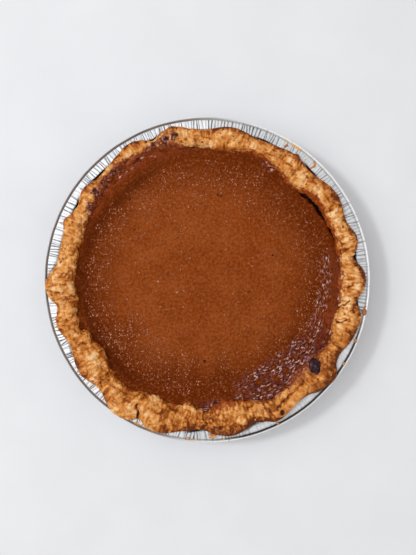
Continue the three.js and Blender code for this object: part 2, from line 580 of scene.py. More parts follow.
def egg_wash_material():
    """Egg wash and butter that ran onto the foil and browned there"""
    shade = Shade("egg_wash_finish", Specular_IOR_Level=0.5)
    colour = shade.ramp(shade.noise(1.6), (0.3, (214, 148, 52)), (0.7, (238, 190, 104)))
    colour = shade.mix(shade.mask("toast"), colour, (184, 104, 28))
    return shade.finish(colour, shade.uneven(0.8, 0.22, 0.4), shade.bump(shade.noise(0.8), 0.1))


def crumb_material():
    """Toasted crumbs"""
    shade = Shade("crumb_finish", Specular_IOR_Level=0.36)
    stops = (0.3, (168, 96, 42)), (0.5, (214, 140, 74)), (0.68, (244, 194, 138))
    colour = shade.mix(shade.mask("toast"), shade.ramp(shade.noise(2.2, 4.0), *stops), (126, 66, 28))
    return shade.finish(colour, shade.uneven(1.0, 0.45, 0.65), shade.bump(shade.noise(0.5), 0.2))


def burnt_material():
    """Custard that bubbled up and burnt to a glossy purple black, rosy on its skirt"""
    shade = Shade("burnt_finish", Specular_IOR_Level=0.16)
    mottle = shade.noise(2.2, 4.0, 0.6)
    colour = shade.ramp(mottle, (0.4, (30, 12, 18)), (0.58, (64, 32, 40)), (0.7, (124, 84, 96)))
    rosy = shade.ramp(mottle, (0.38, (66, 24, 24)), (0.52, (128, 72, 70)), (0.66, (200, 150, 150)))
    colour = shade.mix(shade.mask("pale"), colour, rosy)
    return shade.finish(colour, shade.uneven(1.0, 0.28, 0.42), shade.bump(shade.noise(1.0), 0.15))


# The foil tin

def pleats():
    """Uneven pleats, the way a press gathers foil, each of 5 columns, the first down in its groove. Gives the
    columns' angles, how far they shift where pleats slant, their relief and how much painted shade their
    grooves get."""
    rng = np.random.default_rng(5)
    width = rng.uniform(0.5, 1.6, PLEATS) * (1 + 0.5 * (rng.random(PLEATS) < 0.15))
    start = np.concatenate([[0], np.cumsum(width)[:-1]]) / width.sum() * 360
    width = np.diff(np.append(start, 360))
    groove_part = np.minimum(np.degrees(PLEAT_GROOVE / FLANGE_MIDDLE) / width, 0.3)
    none = np.zeros(PLEATS)
    parts = np.stack([none, groove_part, none + 0.36, none + 0.64, 1 - groove_part], axis=1)
    slant = rng.normal(0, 0.45, PLEATS)
    depth = rng.uniform(0.15, 0.6, PLEATS)
    lift = rng.normal(0, 0.05, PLEATS)
    tilt = rng.normal(0, 0.14, PLEATS)
    shift = 0.8 * (slant[:, None] * (1 - parts) + np.roll(slant, -1)[:, None] * parts)
    relief = lift[:, None] + tilt[:, None] * (parts - 0.5)
    relief[:, 0] = -depth
    strength = 0.35 + 0.65 * smooth(0.15, 0.45, depth)
    crease = np.stack([strength, 0.5 * strength, none, none, 0.5 * np.roll(strength, -1)], axis=1)
    angles = start[:, None] + width[:, None] * parts
    return (values.reshape(1, -1) for values in (angles, shift, relief, crease))


def flange_height(radius):
    """The flange's upper face, which falls gently towards the rolled edge"""
    return FLANGE + 0.45 - FLANGE_FALL * (radius - FLANGE_START) / FLANGE_WIDTH


def foil_rows():
    """The foil's upper face from the base to the rolled edge: radius, height, pleating and slant"""
    rows = [(60, FOIL, 0, 0), (84, FOIL, 0, 0)]
    rows += [(TIN_BASE - 3.4, FOIL + 0.02, 0, 0), (TIN_BASE - 1.4, 0.75, 0.1, 0)]
    for t in np.linspace(0.1, 0.97, 8):
        rows.append((TIN_BASE + (TIN_MOUTH - TIN_BASE) * t, 0.6 + (FLANGE - 0.6) * t, 0.25 + 0.75 * t, 0))
    rows += [(TIN_MOUTH + 0.15, FLANGE + 0.25, 1, 0), (TIN_MOUTH + 0.6, FLANGE + 0.42, 1, 0)]
    for t in np.linspace(0, 1, 8):
        radius = FLANGE_START + FLANGE_WIDTH * t
        rows.append((radius, flange_height(radius), 1 - 0.25 * t, t))
    return np.array(rows + [(120.2, FLANGE - 0.2, 0.6, 1), (120.5, FLANGE - 0.55, 0.2, 1)])


def foil_underside(rows, turn):
    """The same face moved out by the foil's thickness: sideways on the wall, down on the base and flange"""
    under = rows.copy()
    under[:, 0] += FOIL * np.sin(turn)
    under[:, 1] = np.maximum(under[:, 1] - FOIL * np.cos(turn), 0)
    return under


def bead_rows():
    """The rolled edge, from its underside round the outside to its inner side"""
    turns = np.radians(np.arange(-150, 166, 35))
    radius = TIN_RADIUS - BEAD + BEAD * np.cos(turns)
    height = FLANGE - 0.15 + BEAD * np.sin(turns)
    return np.stack([radius, height, np.full(len(turns), 0.06), np.ones(len(turns))], axis=1)


# Where the foil gets painted shade in the crevices along the pastry: middle, strength, half width
CREVICES = [
    (8.5, 1, 3), (47, 1, 6), (68, 1, 5), (111, 1, 3), (136, 1, 8), (150, 1, 4.5), (176, 0.6, 6), (265, 1, 5),
    (287.5, 0.7, 5), (351, 0.9, 3), (207, 0.5, 5),
]


def foil_masks(rows, count, angles, crease):
    """Painted shade in the foil's grooves, along its rolled edge and seam, in its mouth and crevices, and a
    painted highlight on its rolled edge; the last count rows are its upper face
    """
    out = rows[:, :1]
    index = np.arange(len(rows))[:, None]
    upper_side = index >= len(rows) - count
    facing_up = index >= count + 3
    # 0 round the pie's left, where the rolled edge gets a painted brown reflection, and 1 round its right,
    # where it gets a painted highlight
    far = smooth(70, 105, away_from(angles, 172))
    lit = sector(angles, 72, 102, 12) + 0.8 * sector(angles, 196, 262, 12)
    on_flange = (0.45 + 0.55 * smooth(112.5, 113.4, out)) * smooth(93, 99, out) * smooth(120.3, 119.8, out)
    nicks = smooth(-0.1, 0.3, noise(ring_points(FLANGE_MIDDLE, 0.0, angles), 3, 8))
    # Painted shade in the pleat grooves: stronger in the lit sectors, fainter round the right and lower right
    crease = crease * np.maximum(on_flange, 0.95 * far * smooth(120.2, 120.5, out) * nicks)
    crease = crease * (1 - 0.15 * far - 0.7 * sector(angles, 290, 334, 12) + 0.45 * lit)
    edge = 0.1 + 0.9 * smooth(120.5, 120.9, out)
    # Painted highlight, mostly on the rolled edge round the right and on the flange in the lit sectors
    painted_highlight = (far + 8 * lit * (1 - far)) * (1 - crease) * facing_up * edge
    bold = sector(angles, 286, 334, 16)
    # Painted shadow: a dark line along the seam inside the rolled edge
    seam = np.exp(-((out - 120.15) / (0.4 + 0.36 * bold)) ** 2) * facing_up
    faint = 1 - 0.35 * sector(angles, 8, 62, 14)
    # Painted shade: the rolled edge round the left, a painted reflection of the pastry, and the seam line
    # round the right
    painted_edge_shade = 0.84 * facing_up * (1 - far) * smooth(119.9, 120.5, out)
    painted_edge_shade = painted_edge_shade + far * faint * seam * (0.78 + 0.22 * bold)
    # Painted shade: inside the tin's mouth, in the crevices under the pastry and along the bold part of the
    # seam
    baked_on = upper_side * smooth(113.3, 112.6, out) * smooth(8, 14, rows[:, 1:2])
    crevice_shade = 1.3 * upper_side * bumps(CREVICES, angles) * smooth(2.2, 1.2, out - outer_edge(angles))
    painted_foil_shade = np.clip(greatest(baked_on, crevice_shade, 1.05 * bold * seam), 0, 1)
    return {"crease": crease, "painted_edge_shade": painted_edge_shade, "painted_highlight": painted_highlight, "painted_foil_shade": painted_foil_shade}


def foil_tin():
    angles, shift, relief, crease = pleats()
    upper = foil_rows()
    turn = np.arctan(np.gradient(upper[:, 1], upper[:, 0]))
    lower = foil_underside(upper, turn)
    bead = bead_rows()
    rows = np.vstack([lower, bead, upper[::-1]])
    lower_turn = np.arctan(np.gradient(lower[:, 1], lower[:, 0]))
    turn = np.concatenate([lower_turn, np.zeros(len(bead)), turn[::-1]])[:, None]
    angles = angles + rows[:, 3:] * shift
    pleating = rows[:, 2:3] * relief
    place = ring_points(FLANGE_MIDDLE, 0.0, angles)
    wobble = 0.18 * noise(ring_points(60.0, 0.0, angles), 14, 3) + 0.12 * noise(place, 9, 4)
    edge = smooth(100, 120, rows[:, :1])
    radius = rows[:, :1] - np.sin(turn) * pleating + edge * (wobble - 0.12)
    height = rows[:, 1:2] + np.cos(turn) * pleating + edge * 0.25 * noise(place, 24, 6)
    height = np.maximum(height, np.where(rows[:, 1:2] < 0.01, 0, 0.01))
    points = closed_rings(ring_points(radius, height, angles), (0, 0, 0), (0, 0, FOIL))
    masks = foil_masks(rows, len(upper), angles, crease)
    masks = {name: np.append(values.ravel(), (0, 0)) for name, values in masks.items()}
    return make_piece("foil_tin", points, round_faces(*angles.shape), "foil", ["tin"], **masks)


# The pastry

# How far the custard's film climbs over the rim's inner edge: middle, reach, half width
FILM_REACH = [
    (128, 3.4, 34), (108, 5.2, 10), (137, 3.6, 14), (2, 1.4, 20), (36, 3.4, 14), (20, 2.0, 10), (54, 2.0, 8),
    (68, 3.4, 10), (82, 1.4, 10), (278, 3.6, 10), (316, 4.4, 22),
]
# Spots of custard that boiled over onto the pastry: angle, radius, size
BOILED = [
    (103, 110, 5), (107, 109, 5.5), (111, 108, 5), (115, 107.5, 3), (131, 106.5, 5), (136, 105.5, 6),
    (142, 105.5, 5.5), (148, 104, 4.5),
]
# Cracks and folds in the rim: route of (angle, radius), width, depth
CRACKS = [
    ([(240.5, 106), (241, 109), (243, 112), (243.2, 117.5)], 1.2, 2.8),
    ([(342, 100.5), (342.6, 104), (344, 107.5)], 0.8, 2.0),
    ([(348, 99.5), (350, 103.5), (352, 107)], 0.7, 1.6),
    ([(124, 106.5), (126.5, 109), (127.5, 112)], 0.8, 1.2),
    ([(299, 107.6), (303, 106.4), (308, 104.8), (314, 103.6)], 1.2, 1.2),
    ([(183, 103), (185.5, 108), (184.5, 113)], 0.7, 1.1),
    ([(150, 103), (152.5, 106.5)], 0.8, 1.0),
    ([(1.5, 102.5), (2.8, 108), (2, 112)], 0.7, 0.9),
    ([(66, 103.5), (60, 105.2), (54, 105.4)], 0.7, 0.9),
    ([(11, 101), (14, 103), (18, 102.5)], 0.7, 0.8),
    ([(331, 102), (328, 106), (323, 108.5)], 0.7, 0.9),
    ([(208, 101), (206.5, 106), (208.5, 111)], 0.8, 1.0),
    ([(226, 103), (223, 108), (225, 112)], 0.7, 0.9),
    ([(268, 103), (270, 108), (267, 113)], 0.7, 0.9),
    ([(88, 104), (92, 107.5), (97, 108)], 0.7, 0.7),
    ([(28, 104), (33, 107.5), (39, 108)], 0.8, 0.7),
]
# Ridges pinched up in the rim, the same way
RIDGES = [
    ([(273, 96), (277, 93), (281, 93.5)], 1.8, 1.4),
    ([(279, 98), (283, 94.5), (286, 96)], 1.6, 1.2),
    ([(217, 97), (222, 99.5), (226, 99)], 1.8, 1.0),
    ([(205, 108), (212, 107), (217, 101)], 1.6, 1.0),
    ([(35, 110), (29, 108.5), (22, 107)], 2.4, 0.8),
    ([(190, 112), (186, 107), (188, 101)], 1.8, 0.9),
    ([(247, 102), (252, 104), (258, 102)], 2.0, 0.9),
    ([(138, 109), (131, 110.5), (126, 108.5)], 2.2, 1.0),
    ([(118, 113), (113, 111), (109, 112)], 2.0, 0.8),
]
# Round blisters with a pit on top: angle, radius, size
BLISTERS = [(232, 113.6, 3.4), (246.8, 105.8, 3.2), (9, 110.5, 3.0), (157, 109, 3.4), (84, 106.5, 2.8)]
# Burnt spots: angle, radius, size, strength
SCORCHES = [
    (102.5, 110.4, 3.2, 0.75), (106.3, 109.4, 3.0, 0.6), (110, 108.2, 2.4, 0.4), (320, 103.5, 6.5, 0.45),
    (275, 110, 3.0, 0.35), (334, 110, 2.2, 0.3), (60.5, 106.4, 1.1, 0.6), (57.5, 108.2, 0.9, 0.6),
    (54.5, 107.2, 1.0, 0.5), (62.8, 108.9, 0.9, 0.6), (56.2, 110.1, 0.8, 0.5),
]


def even_rows(radius, height, rows):
    """Spreads each column's section points evenly along the section"""
    step = np.hypot(np.diff(radius, axis=0), np.diff(height, axis=0))
    along = np.vstack([np.zeros(radius.shape[1]), np.cumsum(step, axis=0)])
    even = np.linspace(0, 1, rows)
    columns = [(a / a[-1], r, h) for a, r, h in zip(along.T, radius.T, height.T)]
    return (np.stack([np.interp(even, place, (r, h)[k]) for place, r, h in columns], axis=1) for k in (0, 1))


def rim_arch(angles):
    """The smooth rim before its relief: from under its outer edge, over the top, down into the custard"""
    outer = outer_edge(angles)
    inner = inner_edge(angles)
    painted_light_on_folds = crest_height(angles) - CREST_ROOM
    under = FLANGE + 0.55 + 0.9 * smooth(118.5, 120.5, outer)
    along = np.linspace(0, 1, 180)[:, None]
    foot = under * (1 - along) + (RIM_FOOT - 1.5) * along
    radius = (outer + inner) / 2 + (outer - inner) / 2 * np.cos(math.pi * along)
    height = foot + (painted_light_on_folds - foot) * np.sin(math.pi * along) ** RIM_FULLNESS
    return even_rows(radius, height, RIM_ROWS)


def unrolled(points, angles, along, across):
    """The points as if the rim were straight, its length divided by along and its section by across"""
    arc = np.radians(angles) * RIM_MIDDLE / along
    return np.stack(np.broadcast_arrays(arc, radius_of(points) / across, points[..., 2] / across), axis=-1)


def streaks(points, angles):
    """Fine wrinkles that run across the rim"""
    return noise(warped(unrolled(points, angles, 1.8, 6.0), 2.2, 0.5, 47), 1.0, 52)


def wrinkles(points, angles):
    """Thin creases that wander across the rim, 1 in a crease and 0 beside it"""
    height = noise(warped(unrolled(points, angles, 1, 2.0), 4, 1.8, 56), 4.2, 61)
    return smooth(0.16, 0.02, np.abs(height)) * smooth(-0.35, 0.35, noise(points, 9, 62))


def rim_marks(points, jagged):
    """Cracks, ridges and blisters: how far they stand off the rim, and how dark their cracks and pits are,
    a painted shade
    """
    rise = np.zeros(points.shape[:-1])
    dark = np.zeros(points.shape[:-1])
    for route, width, depth in CRACKS:
        cut = groove(jagged, route, width)
        rise -= depth * cut
        dark = np.maximum(dark, cut * min(depth / 1.6, 1))
    for route, width, height in RIDGES:
        rise += height * groove(jagged, route, width)
    for angle, radius, size in BLISTERS:
        rise += 0.9 * spot(points, angle, radius, size) - 1.3 * spot(points, angle, radius, size * 0.38)
        dark = np.maximum(dark, 0.6 * spot(points, angle, radius, size * 0.42))
    return rise, dark


def pock_marks(points):
    """Small pits all over the rim, thickest at its upper right"""
    rng = np.random.default_rng(23)
    pits = np.zeros(points.shape[:-1])
    for _ in range(90):
        place = rng.uniform(0, 360), rng.uniform(101, 116)
        pits = np.maximum(pits, rng.uniform(0.2, 0.9) * spot(points, *place, rng.uniform(0.7, 1.6)))
    for _ in range(46):
        place = rng.uniform(47, 66), rng.uniform(103.5, 112.5)
        pits = np.maximum(pits, spot(points, *place, rng.uniform(0.6, 1.3)))
    return pits


def scorched(points, jagged):
    """How burnt the rim is in its burnt spots"""
    burnt = []
    for angle, radius, size, strength in SCORCHES:
        ragged = spot(jagged, angle, radius, size) * (1 + 0.6 * noise(points, 1.6, 43))
        burnt.append(strength * smooth(0.15, 0.7, ragged))
    return greatest(*burnt)


def rim_relief(points, angles):
    """How far the rim's surface stands off the smooth arch, and how toasted, cracked and burnt it is. Its
    colour has painted shade in creases, cracks and pits and a painted highlight on lumps and ridges.
    """
    tight = warped(points, 2.5, 0.8, 45)
    jagged = warped(points, 3, 0.9, 44)
    even = 1 - 0.4 * sector(angles, 8, 88, 12) - 0.4 * sector(angles, 298, 345, 12)
    large = billows(warped(points, 6, 1.6, 37), 8.5, 32)
    middling = 0.5 * billows(tight, 4.2, 33) + 0.6 * noise(tight, 4.6, 39)
    small = billows(tight, 2.1, 38)
    flakes = 0.35 * terraces(points, 12, 5, 34)
    crease = streaks(points, angles)
    crinkle = wrinkles(points, angles) * (0.55 + 0.6 * sector(angles, -12, 26, 12))
    wrinkled = smooth(0.05, 0.5, noise(points, 15, 46))
    marks, cracked = rim_marks(points, jagged)
    pits = pock_marks(jagged)
    relief = 0.9 * noise(points, 15, 31) + even * (1.4 * large + 0.48 * middling) + flakes + marks
    relief = relief + 0.16 * small + (0.15 + 0.4 * wrinkled) * crease + 0.12 * noise(points, 1.2, 36)
    relief = relief - 0.5 * crinkle - 0.7 * pits

    # Painted shade in the creases of the lumps and a painted highlight on their tops
    some = smooth(-0.35, 0.45, noise(points, 6, 48))
    hollow_shade = smooth(-0.1, -0.5, large) + some * (smooth(-0.1, -0.5, middling) + 0.3 * smooth(0, -0.5, small))
    peak_highlight = smooth(0.15, 0.8, middling) * (1 - some) + 0.5 * smooth(0.2, 0.8, small)
    toast = 0.39 + 0.34 * noise(points, 13, 41) + 0.2 * noise(points, 5, 42)
    toast = toast + even * (0.24 * hollow_shade - 0.22 * peak_highlight) + 0.12 * smooth(0.1, 0.3, flakes)
    # Painted shade: darker in pits, cracks and thin creases; paler on the ridges of the streaks, a painted
    # highlight
    toast = toast + 0.3 * pits + 0.45 * cracked - 0.3 * crease + 0.34 * crinkle
    return relief, toast, cracked, scorched(points, jagged)


def boiled_over(rings, along, angles):
    """Where custard covers the rim, and how purple it is there"""
    past_line = radius_of(rings) - inner_edge(angles) - 0.3 - bumps(FILM_REACH, angles)
    ragged = 2.0 * noise(rings, 4, 51) + 1.2 * noise(rings, 1.8, 52)
    film = smooth(0.7, -0.7, past_line - ragged) * smooth(0.2, 0.35, along)
    blotch = smooth(-0.2, 0.5, noise(rings, 5, 53) + 0.3 * past_line)
    upper_left = sector(angles, 99, 158, 6) * (0.25 + 0.75 * blotch)
    purple = np.maximum(upper_left, 0.6 * sector(angles, 300, 350, 12))
    bent = warped(rings, 3.2, 1.9, 54)
    boiled = greatest(*(spot(bent, *place) for place in BOILED))
    boiled = smooth(0.12, 0.45, boiled * (1 + 0.9 * noise(rings, 2.4, 55)))
    return np.maximum(film, boiled), np.maximum(purple, boiled)


def browned(toast, along, angles):
    """The browning, with darker outer edges that are part toasting and part painted shade strongest round the
    right, away from the lamp, darker stretches at the bottom and lower right, and more contrast in places
    """
    shady = smooth(30, 110, away_from(angles, 202))
    bottom = sector(angles, 256, 330, 16) + 0.45 * sector(angles, 205, 232, 16)
    toast = toast + (0.1 + 0.24 * shady) * smooth(0.34, 0.08, along)
    toast = toast + bottom * (0.09 + 0.05 * smooth(0.4, 0.15, along)) + 0.07 * sector(angles, 300, 342, 8)
    contrast = 1 + 0.3 * sector(angles, 256, 298, 8) + 0.25 * sector(angles, -12, 26, 10)
    return 0.45 + (toast - 0.45) * contrast


def hidden_rings(angles):
    """The shell's rings below the rim, against the tin, and those above it, down the inside to the floor"""
    below = [ring_points(r, z, angles[None]) for r, z in ((88.4, 1.1), (94.2, 4.5), (110.0, FLANGE - 3))]
    neck = np.minimum(112.0, outer_edge(angles) - 1.3)
    below.append(ring_points(neck[None], FLANGE + 0.25, angles[None]))
    above = []
    for t in (0.9, 0.6, 0.3, 0.0):
        radius = SHELL_FOOT + (inner_edge(angles) - SHELL_FOOT) * t
        above.append(ring_points(radius[None], SHELL_FLOOR + (RIM_FOOT - SHELL_FLOOR) * t, angles[None]))
    return below, above


def pie_crust():
    """The crust, and the points of its visible surface"""
    angles = np.linspace(0, 360, RIM_COLUMNS, endpoint=False)
    rings = ring_points(*rim_arch(angles), angles[None])
    relief, toast, cracked, char = rim_relief(rings, angles)
    along = np.linspace(0, 1, RIM_ROWS)[:, None]
    free = smooth(0, 0.12, along) * (1 - 0.6 * smooth(0.86, 1, along))
    rings = rings + grid_normals(rings) * (relief * free)[..., None]
    film, purple = boiled_over(rings, along, angles)
    # Painted shade: near black on the inner wall where the custard has shrunk away, and in deep cracks
    under_custard = smooth(LEVEL + 0.9, LEVEL - 0.4, rings[..., 2]) * (along > 0.5)
    gap_shade = under_custard * np.clip(bumps(SHRUNK, angles), 0, 1)
    char = greatest(char, gap_shade, 0.75 * cracked * smooth(0.5, 1, cracked))
    below, above = hidden_rings(angles)

    def pad(values, before, after):
        """A mask's values for the hidden rings below and above the rim, and for the two end points"""
        outside = ((len(below), len(above)), (0, 0))
        values = np.pad(values, outside, constant_values=((before, after), (0, 0)))
        return np.append(values.ravel(), (before, after))

    masks = {"toast": pad(browned(toast, along, angles), 0.7, 0.7), "film": pad(film, 0, 1),
             "purple": pad(purple, 0, 1), "char": pad(char, 0.6, 0.9)}
    shell = np.vstack(below + [rings] + above)
    points = closed_rings(shell, (0, 0, 1.1), (0, 0, SHELL_FLOOR))
    piece = make_piece("pie_crust", points, round_faces(*shell.shape[:2]), "pastry", ["crust"], **masks)
    return piece, rings[8:].reshape(-1, 3)


def top_of(surface, place, reach=0.7):
    """The greatest height of the surface points near a place seen from above"""
    near = radius_of(surface[:, :2] - place) < reach
    return surface[near, 2].max() if near.any() else None


def pastry_roll(surface):
    """A strip of dough folded over onto the rim, rolled up at one end"""
    places = [polar(*corner) for corner in
              ((296.6, 113.6), (299.5, 112.9), (303.5, 111.2), (307.5, 109.8), (311, 108.9), (314, 108.0))]
    route = [(*place, top_of(surface, place, 2.0) - 0.6) for place in places]
    half_width = (2.6, 3.3, 3.6, 3.4, 3.0, 1.8)
    points, faces = strand(route, half_width, 2.2, 0.1, 5.0, 91, around=40, count=90)
    points[:, 2] += 0.25 * noise(points, 3.0, 92)
    dent = np.clip(1 - radius_of((points[:, :2] - polar(299.5, 113.0)) / (2.0, 2.9)) ** 2, 0, 1)
    points[:, 2] -= 1.2 * dent
    middle = np.interp(angle_of(points), np.linspace(296.6, 314, 6), [z for _, _, z in route])
    # Painted shade: darker in the sunken end of the roll and along its lower side, near black in that end
    toast = 0.5 + 0.22 * noise(points, 5, 93) + 0.45 * smooth(0.1, 0.6, dent)
    toast = toast + 0.35 * smooth(0.0, -1.6, points[:, 2] - middle)
    return make_piece("pastry_roll", points, faces, "pastry", toast=toast, film=0 * dent, purple=0 * dent,
                      char=0.85 * smooth(0.25, 0.75, dent))


# Crumbs on the foil's flange: angle, radius, length, width, height, turn, toast
FLANGE_CRUMBS = [
    (348.5, 119.9, 4.9, 3.5, 2.4, 80, 0.7), (337.7, 119.8, 3.0, 2.4, 1.8, 60, 0.35),
    (296.1, 119.6, 2.0, 1.8, 1.4, 30, 0.2), (263.0, 119.5, 3.0, 2.0, 1.4, 10, 0.1),
    (59.6, 116.6, 3.6, 1.6, 1.6, 20, 0.6), (350.6, 120.0, 1.6, 1.2, 0.9, 0, 0.0),
    (328.5, 119.9, 2.2, 1.8, 1.2, 45, 0.0), (271.8, 116.6, 5.6, 4.0, 2.6, 5, 0.1),
    (247.9, 118.2, 3.4, 2.6, 1.8, -20, 0.4),
]


def crumbs(surface):
    """Crumbs on the flange, and flakes and nubs that stand on the pastry"""
    rng = np.random.default_rng(131)
    shells = []
    for index, (angle, radius, *size, turn, toast) in enumerate(FLANGE_CRUMBS):
        centre = (*polar(angle, radius), FLANGE + 0.35 + 0.3 * size[2])
        shells.append((*blob(centre, np.array(size) / 2, turn, 0.4, 1.6, 140 + index, 10, 16), toast))
    for index in range(240):
        angle = rng.uniform(0, 360)
        place = polar(angle, rng.uniform(inner_edge(angle) + 2.2, outer_edge(angle) - 0.8))
        z = top_of(surface, place)
        if z is None or 112 < angle < 150:
            continue
        r = rng.uniform(0.5, 1.5)
        radii = (r, r * rng.uniform(0.45, 0.9), r * rng.uniform(0.25, 0.5))
        lump = blob((*place, z - 0.1), radii, rng.uniform(0, 180), 0.5, 1.3, 200 + index, 6, 9)
        shells.append((*lump, rng.uniform(0, 1) ** 2.5))
    points, faces, toast = joined(shells)
    return make_piece("crumbs", points, faces, "pastry", toast=toast)


# Egg wash on the flange: route of (angle, radius), half width, height, toast
WASH = [
    ([(48.1, 120.3), (47.5, 119.0), (46.7, 117.3), (47.0, 115.4), (47.5, 114.0)], 0.85, 0.4, 0.7),
    ([(58.7, 120.0), (57.2, 119.9), (55.6, 119.8), (53.9, 119.7)], 0.85, 0.4, 0.1),
    ([(61.4, 120.1), (60.7, 120.0), (60.1, 119.7)], 0.8, 0.4, 0.1),
    ([(54.6, 116.4), (54.2, 115.4)], 0.8, 0.35, 0.1), ([(51.1, 116.7), (50.6, 116.1)], 0.6, 0.3, 0.1),
    ([(45.0, 119.9), (44.6, 119.8)], 0.6, 0.3, 0.0), ([(276.3, 119.8), (275.6, 119.8)], 0.8, 0.3, 0.0),
    ([(266.5, 119.9), (265.6, 119.8)], 0.7, 0.3, 0.0), ([(250.6, 120.0), (249.4, 119.9)], 0.7, 0.35, 0.1),
    ([(242.8, 119.9), (244.2, 120.0), (245.7, 119.9)], 0.7, 0.35, 0.4),
]


def egg_wash():
    shells = []
    for index, (route, half_width, height, toast) in enumerate(WASH):
        corners = [(*polar(angle, radius), flange_height(radius)) for angle, radius in route]
        if len(corners) < 3:
            corners.insert(1, tuple(np.mean(corners, axis=0)))
        run = strand(corners, half_width, height, 0.35, 1.4, 160 + index, around=12, count=24)
        shells.append((*run, toast))
    points, faces, toast = joined(shells)
    return make_piece("egg_wash", points, faces, "pastry", toast=toast)


def burnt_bubble(surface):
    """A bubble of custard that rose over the rim's inner edge and burnt, and its paler skirt"""
    place = polar(321.1, 102.6)
    z = max(top_of(surface, place, 3.0) or 0, LEVEL + 2)
    bubble = blob((*place, z - 1.2), (4.5, 6.6, 2.6), 10, 0.2, 3.6, 171, 30, 60)
    skirt = blob((*polar(321.6, 98.2), LEVEL + 1.2), (4.2, 4.6, 1.7), 35, 0.3, 1.8, 172, 26, 48)
    points, faces, pale = joined([(*bubble, 0.0), (*skirt, 1.0)])
    return make_piece("burnt_bubble", points, faces, "custard", pale=pale)


# The custard

# Where the wrinkled skin begins, along the pie's lower right: angle, radius
SKIN_START = [(-80, 80), (-67, 75), (-51, 74), (-41, 77), (-32, 78), (-23, 81), (-15, 82), (0, 84), (16, 87)]
# Parts of the custard that get a skin sheet: first angle, last angle, inner radius, reach past the custard's
# edge, mesh step
SKIN_PATCHES = [
    (-82, 20, 70, 0.6, 0.52), (92, 164, 92, 0.6, 0.5), (54, 69, 88, 0.4, 0.5), (259, 277.5, 84, 0.6, 0.5),
]
# The darkest ring of the custard, along the pie's left, part browning and part painted shadow of the pastry:
# angle, radius
CARAMEL_AND_SHADOW_RING = [(100, 92), (120, 91), (140, 90.5), (160, 94), (180, 94.5), (200, 93.5), (220, 93.5), (250, 92)]
# Bubbles that stand out: x, y, radius
BIG_BUBBLES = [
    (-22.8, -9.3, 1.2), (-37.1, -1.1, 1.1), (-35.5, -20.3, 0.9), (-47.7, -26.5, 0.9), (-64.1, -52.2, 1.1),
    (-13, 16.7, 0.9), (-60.4, 46.5, 0.9), (-46.9, 17.9, 0.9), (29.6, -67.3, 1.2), (6.7, -56.3, 0.8),
    (6.7, -62.9, 0.8), (-24.5, -29.5, 0.8), (-27, -14.5, 0.7), (-50, 24, 0.7),
]
# Pits, the same way
PITS = [
    (-2, -61.2, 1.2), (49.5, 18.8, 1.0), (-55, 38, 0.8), (-58.2, 61, 0.9), (7.9, 64.5, 0.9),
    (10.5, 63.4, 0.8),
]
# Fields of small bubbles: first angle, last angle, inner radius, outer radius, number
BUBBLE_FIELDS = [
    (140, 215, 74, 93, 420), (205, 262, 56, 90, 480), (-30, 25, 70, 94, 300), (60, 135, 62, 90, 260),
    (90, 150, 56, 84, 180), (25, 75, 60, 90, 150), (262, 330, 58, 80, 130), (0, 360, 10, 90, 640),
]


def disc_grid(count):
    """A square grid wrapped onto a unit disc with even cells: radius and angle of each point"""
    u, v = np.meshgrid(np.linspace(-1, 1, count + 1), np.linspace(-1, 1, count + 1), indexing="ij")
    wide = np.abs(u) > np.abs(v)
    radius = np.where(wide, u, v)
    safe = np.where(radius == 0, 1, radius)
    angle = np.where(wide, 45 * v / safe, np.where(radius == 0, 0, 90 - 45 * u / safe))
    return np.abs(radius), (angle + np.where(radius < 0, 180, 0)) % 360


def custard_gap(angles):
    ragged = 1 + 0.7 * noise(ring_points(100.0, 0.0, angles), 3.4, 80)
    return np.clip(bumps(SHRUNK, angles) * ragged, 0, 3.2)


def custard_edge(angles):
    """Where the custard ends: just inside the pastry, or short of it where it has shrunk away"""
    return inner_edge(angles) + OVERLAP - custard_gap(angles) * (OVERLAP + 1.9) / 2.6


def custard_rise(points):
    """The custard's height over its level: it climbs towards the pastry and is gently uneven"""
    flat = points * (1, 1, 0)
    angles = angle_of(points)
    to_edge = custard_edge(angles) - radius_of(points)
    inside = np.maximum(to_edge, 0)
    gap = custard_gap(angles)
    climb = 2.1 * np.exp(-inside / 7.5) + 0.5 * np.exp(-((to_edge - 24) / 14) ** 2)
    climb = climb * (1 - 0.75 * np.clip(gap, 0, 2) / 2)
    roll_off = np.clip(gap, 0, 1.5) / 1.5 * np.exp(-inside / 0.8)
    slow = 0.22 * noise(flat, 40, 72) + 0.12 * noise(flat, 17, 73)
    return climb - roll_off + slow + 0.5 * groove(points, [(73, 93.8), (70.8, 88)], 1.6)


